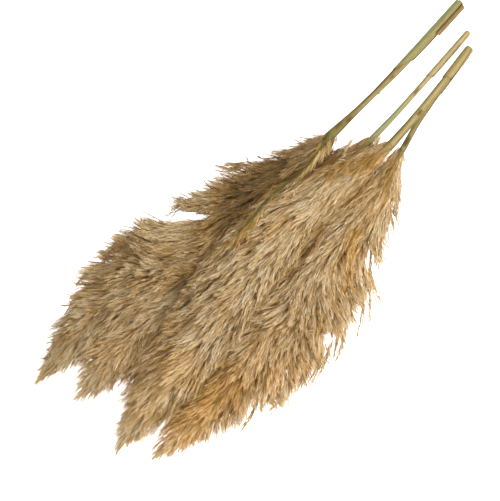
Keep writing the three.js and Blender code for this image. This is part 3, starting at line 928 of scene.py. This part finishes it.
def build_rachis_racemes(number, plumes, material):
    """Slim racemes that leave the visible rachis on both sides, nearly along it."""
    draw = np.random.default_rng(80 + number)
    own = RACHIS[number]
    count = own["racemes"]
    path = rachis_path(number, plumes)
    at = (draw.uniform(0.0, 1, count) ** 1.2 * (len(path) - 1)).astype(int)
    along, side, _ = frames(path)
    right = draw.uniform(0, 1, count) < own["right"]
    hand = np.where(right, 1, -1)
    length = draw.uniform(20, 42, count)
    v = np.linspace(0, 1, RACEME_POINTS)
    extra = np.where(right, 0.42 * own["above"], 0)
    wide = draw.uniform(2, 9, count) + extra
    bend = np.radians(wide[:, None] + draw.uniform(-12, 20, count)[:, None] * v)
    aside = side[at][:, None] * (hand[:, None] * np.sin(bend))[..., None]
    way = along[at][:, None] * np.cos(bend)[..., None] + aside
    steps = way * (length[:, None] * np.diff(v, prepend=0))[..., None]
    points = path[at][:, None] + np.cumsum(steps, axis=1)
    lift = draw.uniform(-1, 3, count) + extra
    over = crest(points[..., 0], points[..., 1], plumes) + lift[:, None]
    points[..., 2] += (np.maximum(over, 30) - points[..., 2]) * v
    base = np.exp(-((at / len(path) / own["pale"]) ** 4))
    # Painted shade: racemes on the rachis's left, the side away from the light, are darker
    tone = draw.uniform(0.45, 1.1, count) * np.where(right, 0.68 + 0.32 * base, 0.6)
    kinds = {"spray": (points, np.tile(UP, (count, 1)), tone, draw.normal(0.12, 0.1, count), None)}
    hair_piece(f"plume_{number}_spray", kinds, number, own["patches"], own["tint"], material, draw)


def shown(colour):
    """The colour of a surface that shows as the given 0-255 colour in this light."""
    return LIT * (np.array(colour) / 255) ** 2.2


def streaks(draw, angle, distance, fineness):
    """Soft lengthwise streaks, between about -1 and 1."""
    total = np.zeros(np.broadcast(angle, distance).shape)
    for _ in range(7):
        turns = draw.integers(2, fineness)
        phase = draw.uniform(0, 2 * math.pi) + distance * draw.normal(0, 0.03)
        swell = np.cos(distance * draw.uniform(0.01, 0.08) + draw.uniform(0, 6))
        total += np.cos(turns * angle + phase) * swell
    return total / 3.5


def turned_from(start, angle):
    """How far angles are from another one, the shorter way round."""
    return np.angle(np.exp(1j * (angle - start)))


def stem_colours(three, angle, distance, marks, draw):
    """Colours over a stem: its left, top and right colours with their painted light and shade, painted
    shade underneath and along both edges, and streaks and marks.
    """
    left, top, right = (shown(c) for c in three)
    turn = np.cos(angle)[..., None]  # 1 on the right side, -1 on the left
    body = np.where(turn > 0, top + (right - top) * turn, top + (left - top) * -turn)
    # Painted shade: darker underneath and along both edges
    below = np.clip(-np.sin(angle), 0, 1)[..., None]
    body = body * (1 - 0.35 * below) * (1 - 0.3 * turn**6)
    body = body * (1 + 0.16 * streaks(draw, angle, distance, 16)[..., None])
    for d, a, half_long, half_wide, colour in marks:
        off = turned_from(a, angle)
        near = np.exp(-(((distance - d) / half_long) ** 4) - (off / half_wide) ** 2)[..., None]
        body = body + (shown(colour) - body) * 0.9 * near
    return body


def culm_path(number, count):
    spine = smooth_curve(PLUMES[number]["spine"], SPINE_POINTS)[:, :3]
    along = unit(spine[1] - spine[0])
    path = smooth_curve([*STEMS[number]["culm"], spine[0] - along * 0.3], count)
    path[:, 1] -= STEM_SHIFT * np.linspace(0, 3, count).clip(0, 1)
    return path


def around(path, angle, radius):
    """Points round a path: rings of the given angles and radii."""
    _, side, rise = frames(path)
    ring = between(side[:, None, :], rise[:, None, :], angle)
    return path[:, None, :] + ring * radius[..., None]


def stalk(path, columns, radii, uneven, fineness, draw):
    """The distances along a path and angles round it of a stalk's points, and its radius at each."""
    distance = path_lengths(path)[:, None]
    angle = np.linspace(0, 2 * math.pi, columns, endpoint=False) + np.zeros((len(path), 1))
    radius = np.interp(distance, *np.array(radii).T)
    return distance, angle, radius * (1 + uneven * streaks(draw, angle, distance, fineness))


def build_culm(number, material):
    draw = np.random.default_rng(10 + number)
    path = culm_path(number, CULM_POINTS)
    distance, angle, radius = stalk(path, 28, STEMS[number]["radius"], 0.025, 10, draw)
    if number == 1:
        place, turn, height = NUB
        off = turned_from(turn, angle)
        radius = radius + height * np.exp(-(((distance - place) / 1.5) ** 2) - (off / 0.4) ** 2)
    colours = stem_colours(CULM_COLOURS[number], angle, distance, CULM_MARKS[number], draw)
    points = around(path, angle, radius)
    # the cut end: a rim, then the pith
    start, middle = points[0], path[0]
    rings = [middle + (start - middle) * share for share in (0.15, 0.8)]
    points = np.concatenate([np.array(rings), points])
    colours = np.concatenate([np.broadcast_to(shown(PITH), (2, *colours.shape[1:])), colours])
    piece = grid_mesh(f"culm_{number}_stalk", points, colours)
    handed_over(piece, f"culm_{number}", material)


def shell_mesh(name, outer, inner, colours):
    """A thin wall between two grids of points, closed along its four edges."""
    ring = np.concatenate([outer, inner[:, ::-1]], axis=1)
    # Painted shade: the inner face is painted darker than the outer
    shade = np.concatenate([colours, colours[:, ::-1] * 0.8], axis=1)
    return grid_mesh(name, ring, shade)


def stations(path, distance):
    """Places on a path, and the ways to its right and up from it, at distances from its start."""
    lengths = path_lengths(path)
    _, side, rise = frames(path)
    return [
        np.stack([np.interp(distance, lengths, rows[:, i]) for i in range(3)], axis=-1)
        for rows in (path, side, rise)
    ]


def build_sheath(number, material):
    """A leaf sheath rolled round its culm, one margin lapping over the other, cut off slantwise."""
    stem = STEMS[number]
    draw = np.random.default_rng(110 + number)
    columns, rows = 44, 110
    turn = np.linspace(0, 2 * math.pi + 0.3, columns)
    share = np.linspace(0, 1, rows)[:, None]
    margin = np.interp(share[:, 0], [0, 0.5, 0.76, 1], [1.25, 0.75, 0.35, 0.35])[:, None]
    angle = margin - turn[::-1]
    end = stem["sheath"] - stem["slant"] * (1 + np.cos(angle[-1])) / 2
    end = end - 1.2 * np.abs(draw.normal(0, 1, columns))
    distance = 2 + (end - 2) * share
    middle, sides, rises = stations(culm_path(number, SHEATH_POINTS), distance)
    ring = between(sides, rises, angle)
    lap = np.linspace(0, 1, columns)
    taper = np.clip((end - distance) / 12, 0, 1)
    radius = np.interp(distance, *np.array(stem["sheath_radius"]).T)
    radius = radius - 0.55 * (1 - lap) + 0.08 * np.cos(30 * angle)
    outer = middle + ring * radius[..., None]
    inner = middle + ring * (radius - 0.22 - 0.13 * taper)[..., None]
    colours = stem_colours(SHEATH_COLOURS[number], angle, distance, [], draw)
    edge = np.clip((lap - 0.93) / 0.05, 0, 1)
    mouth = np.exp(-(((end - distance) / 2.2) ** 2))
    brown = np.clip(edge * SHEATH_EDGE_BROWN[number] + 0.35 * mouth, 0, 1)[..., None]
    colours = colours + (shown(BROWN) - colours) * 0.85 * brown
    piece = shell_mesh(f"sheath_{number}_wall", outer, inner, colours)
    handed_over(piece, f"sheath_{number}", material)


def build_leaf_base(material):
    """The torn base of a leaf along the first sheath's right side, curling away from it."""
    draw = np.random.default_rng(55)
    path = culm_path(1, SHEATH_POINTS)
    rows, columns = 70, 12
    share = np.linspace(0, 1, rows)[:, None]
    torn = 56 - np.abs(draw.normal(0, 1.4, columns))
    distance = 3 + (torn - 3) * share
    middle = stations(path, distance)[0]
    step = LEAF_WIDTH / (columns - 1)
    heading = LEAF_TURN - math.pi / 2 - 0.35 * np.linspace(0, 1, columns)
    start_x = LEAF_START * math.cos(LEAF_TURN)
    start_z = LEAF_START * math.sin(LEAF_TURN)
    across_x = start_x + np.concatenate([[0], np.cumsum(step * np.cos(heading[:-1]))])
    across_z = start_z + np.concatenate([[0], np.cumsum(step * np.sin(heading[:-1]))])
    ripple = 0.18 * np.cos(np.linspace(0, 9, columns)) + 0.15 * np.sin(distance * 0.35)
    _, side, rise = frames(path)
    across_leaf = middle + side[0] * across_x[:, None]
    outer = across_leaf + rise[0] * (across_z + ripple + 0.55)[..., None]
    inner = across_leaf + rise[0] * (across_z + ripple + 0.15)[..., None]
    place = np.linspace(0, 1, columns)
    colours = shown(TORN_LEAF) * (1 + 0.14 * streaks(draw, place * 5, distance, 12))[..., None]
    dark = (np.exp(-((place / 0.22) ** 2)) + 0.7 * np.clip((place - 0.86) / 0.1, 0, 1))[None, :, None]
    colours = colours + (shown(BROWN) - colours) * np.clip(dark, 0, 1) * 0.9
    piece = shell_mesh("leaf_base_1_blade", outer, inner, colours)
    handed_over(piece, "leaf_base_1", material)


def node_material(name):
    """A new material and its node tree, empty."""
    material = bpy.data.materials.new(name)
    material.use_nodes = True
    material.node_tree.nodes.clear()
    return material, material.node_tree


def add_node(tree, kind, **inputs):
    """A new node, its inputs set to values or joined to outputs. Underscores in names stand for spaces."""
    node = tree.nodes.new(kind)
    for name, value in inputs.items():
        socket = node.inputs[name.replace("_", " ")]
        if isinstance(value, bpy.types.NodeSocket):
            tree.links.new(value, socket)
        else:
            socket.default_value = value
    return node


def painted_colour(tree):
    colour = tree.nodes.new("ShaderNodeAttribute")
    colour.attribute_name = "tint"
    return colour.outputs["Color"]


def hair_material(name):
    """Silky hair: the colour painted on the spikelets, some of the light passing through them."""
    material, tree = node_material(name)
    colour = painted_colour(tree)
    body = add_node(
        tree, "ShaderNodeBsdfPrincipled", Base_Color=colour, Roughness=0.55, Specular_IOR_Level=0.22
    )
    through = add_node(tree, "ShaderNodeBsdfTranslucent", Color=colour)
    mix = add_node(tree, "ShaderNodeMixShader", Fac=0.12)
    tree.links.new(body.outputs["BSDF"], mix.inputs[1])
    tree.links.new(through.outputs["BSDF"], mix.inputs[2])
    add_node(tree, "ShaderNodeOutputMaterial", Surface=mix.outputs["Shader"])
    return material


def fibre_material(name, roughness, relief):
    """Dry plant fibre: the painted colour with fine grain drawn out along the stems, and low relief."""
    material, tree = node_material(name)
    place = tree.nodes.new("ShaderNodeTexCoord").outputs["Object"]
    stretched = add_node(tree, "ShaderNodeMapping", Vector=place, Scale=GRAIN_SCALE).outputs["Vector"]
    grain = add_node(tree, "ShaderNodeTexNoise", Vector=stretched, Scale=1.0, Detail=4.0).outputs["Fac"]
    shade = add_node(
        tree, "ShaderNodeMapRange", Value=grain, From_Min=0.3, From_Max=0.7, To_Min=0.78, To_Max=1.16
    )
    mixed = tree.nodes.new("ShaderNodeMix")
    mixed.data_type = "RGBA"
    mixed.blend_type = "MULTIPLY"
    mixed.inputs["Factor"].default_value = 1.0
    tree.links.new(painted_colour(tree), mixed.inputs["A"])
    tree.links.new(shade.outputs["Result"], mixed.inputs["B"])
    bump = add_node(tree, "ShaderNodeBump", Height=grain, Strength=relief, Distance=0.0002)
    body = add_node(
        tree, "ShaderNodeBsdfPrincipled", Base_Color=mixed.outputs["Result"], Roughness=roughness,
        Specular_IOR_Level=0.12, Normal=bump.outputs["Normal"],
    )
    add_node(tree, "ShaderNodeOutputMaterial", Surface=body.outputs["BSDF"])
    return material


def make_floor():
    mesh = bpy.data.meshes.new("floor")
    s = FLOOR_HALF
    mesh.from_pydata([(-s, -s, 0), (s, -s, 0), (s, s, 0), (-s, s, 0)], [], [(0, 1, 2, 3)])
    floor = linked("floor", mesh)
    material, tree = node_material("floor_white")
    body = add_node(
        tree, "ShaderNodeBsdfPrincipled", Base_Color=(0.85, 0.85, 0.85, 1), Roughness=0.7,
        Emission_Color=(1, 1, 1, 1), Emission_Strength=1.0,
    )
    add_node(tree, "ShaderNodeOutputMaterial", Surface=body.outputs["BSDF"])
    mesh.materials.append(material)


def make_camera():
    data = bpy.data.cameras.new("camera")
    data.lens = LENS
    data.sensor_width = SENSOR
    data.sensor_fit = "HORIZONTAL"
    data.clip_end = 50
    camera = linked("camera", data)
    distance = PICTURE_WIDTH * LENS / SENSOR
    x, y = np.array(PICTURE_MIDDLE) + TO_ORIGIN[:2]
    camera.location = Vector((x, y, PICTURE_HEIGHT + distance)) * MM
    camera.rotation_euler = (0, 0, math.radians(CAMERA_TURN))
    bpy.context.scene.camera = camera


def make_light():
    world = bpy.data.worlds.new("studio")
    world.use_nodes = True
    back = world.node_tree.nodes["Background"]
    back.inputs["Color"].default_value = (1, 1, 1, 1)
    back.inputs["Strength"].default_value = WORLD_LIGHT
    bpy.context.scene.world = world
    data = bpy.data.lights.new("key", "AREA")
    data.shape = "DISK"
    data.size = KEY_SIZE
    data.energy = KEY_POWER
    light = linked("key", data)
    light.location = KEY_PLACE
    light.rotation_euler = Vector(KEY_PLACE).to_track_quat("Z", "Y").to_euler()
    bpy.context.scene.view_settings.view_transform = "Standard"


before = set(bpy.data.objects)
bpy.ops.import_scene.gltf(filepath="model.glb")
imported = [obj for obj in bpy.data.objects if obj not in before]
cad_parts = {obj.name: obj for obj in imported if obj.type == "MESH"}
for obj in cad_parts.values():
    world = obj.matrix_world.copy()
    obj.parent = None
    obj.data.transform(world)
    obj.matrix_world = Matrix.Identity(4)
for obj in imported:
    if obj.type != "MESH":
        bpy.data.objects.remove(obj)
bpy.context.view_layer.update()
make_camera()
make_light()
make_floor()
plumes = {number: Plume(spec) for number, spec in PLUMES.items()}
for number in plumes:
    build_plume(number, plumes)
fibre = fibre_material("dry_stem", 0.65, 0.5)
spray_hair = hair_material("rachis_hair")
for number in STEMS:
    build_rachis(number, plumes, fibre)
    build_rachis_racemes(number, plumes, spray_hair)
    build_culm(number, fibre)
    build_sheath(number, fibre)
build_leaf_base(fibre)
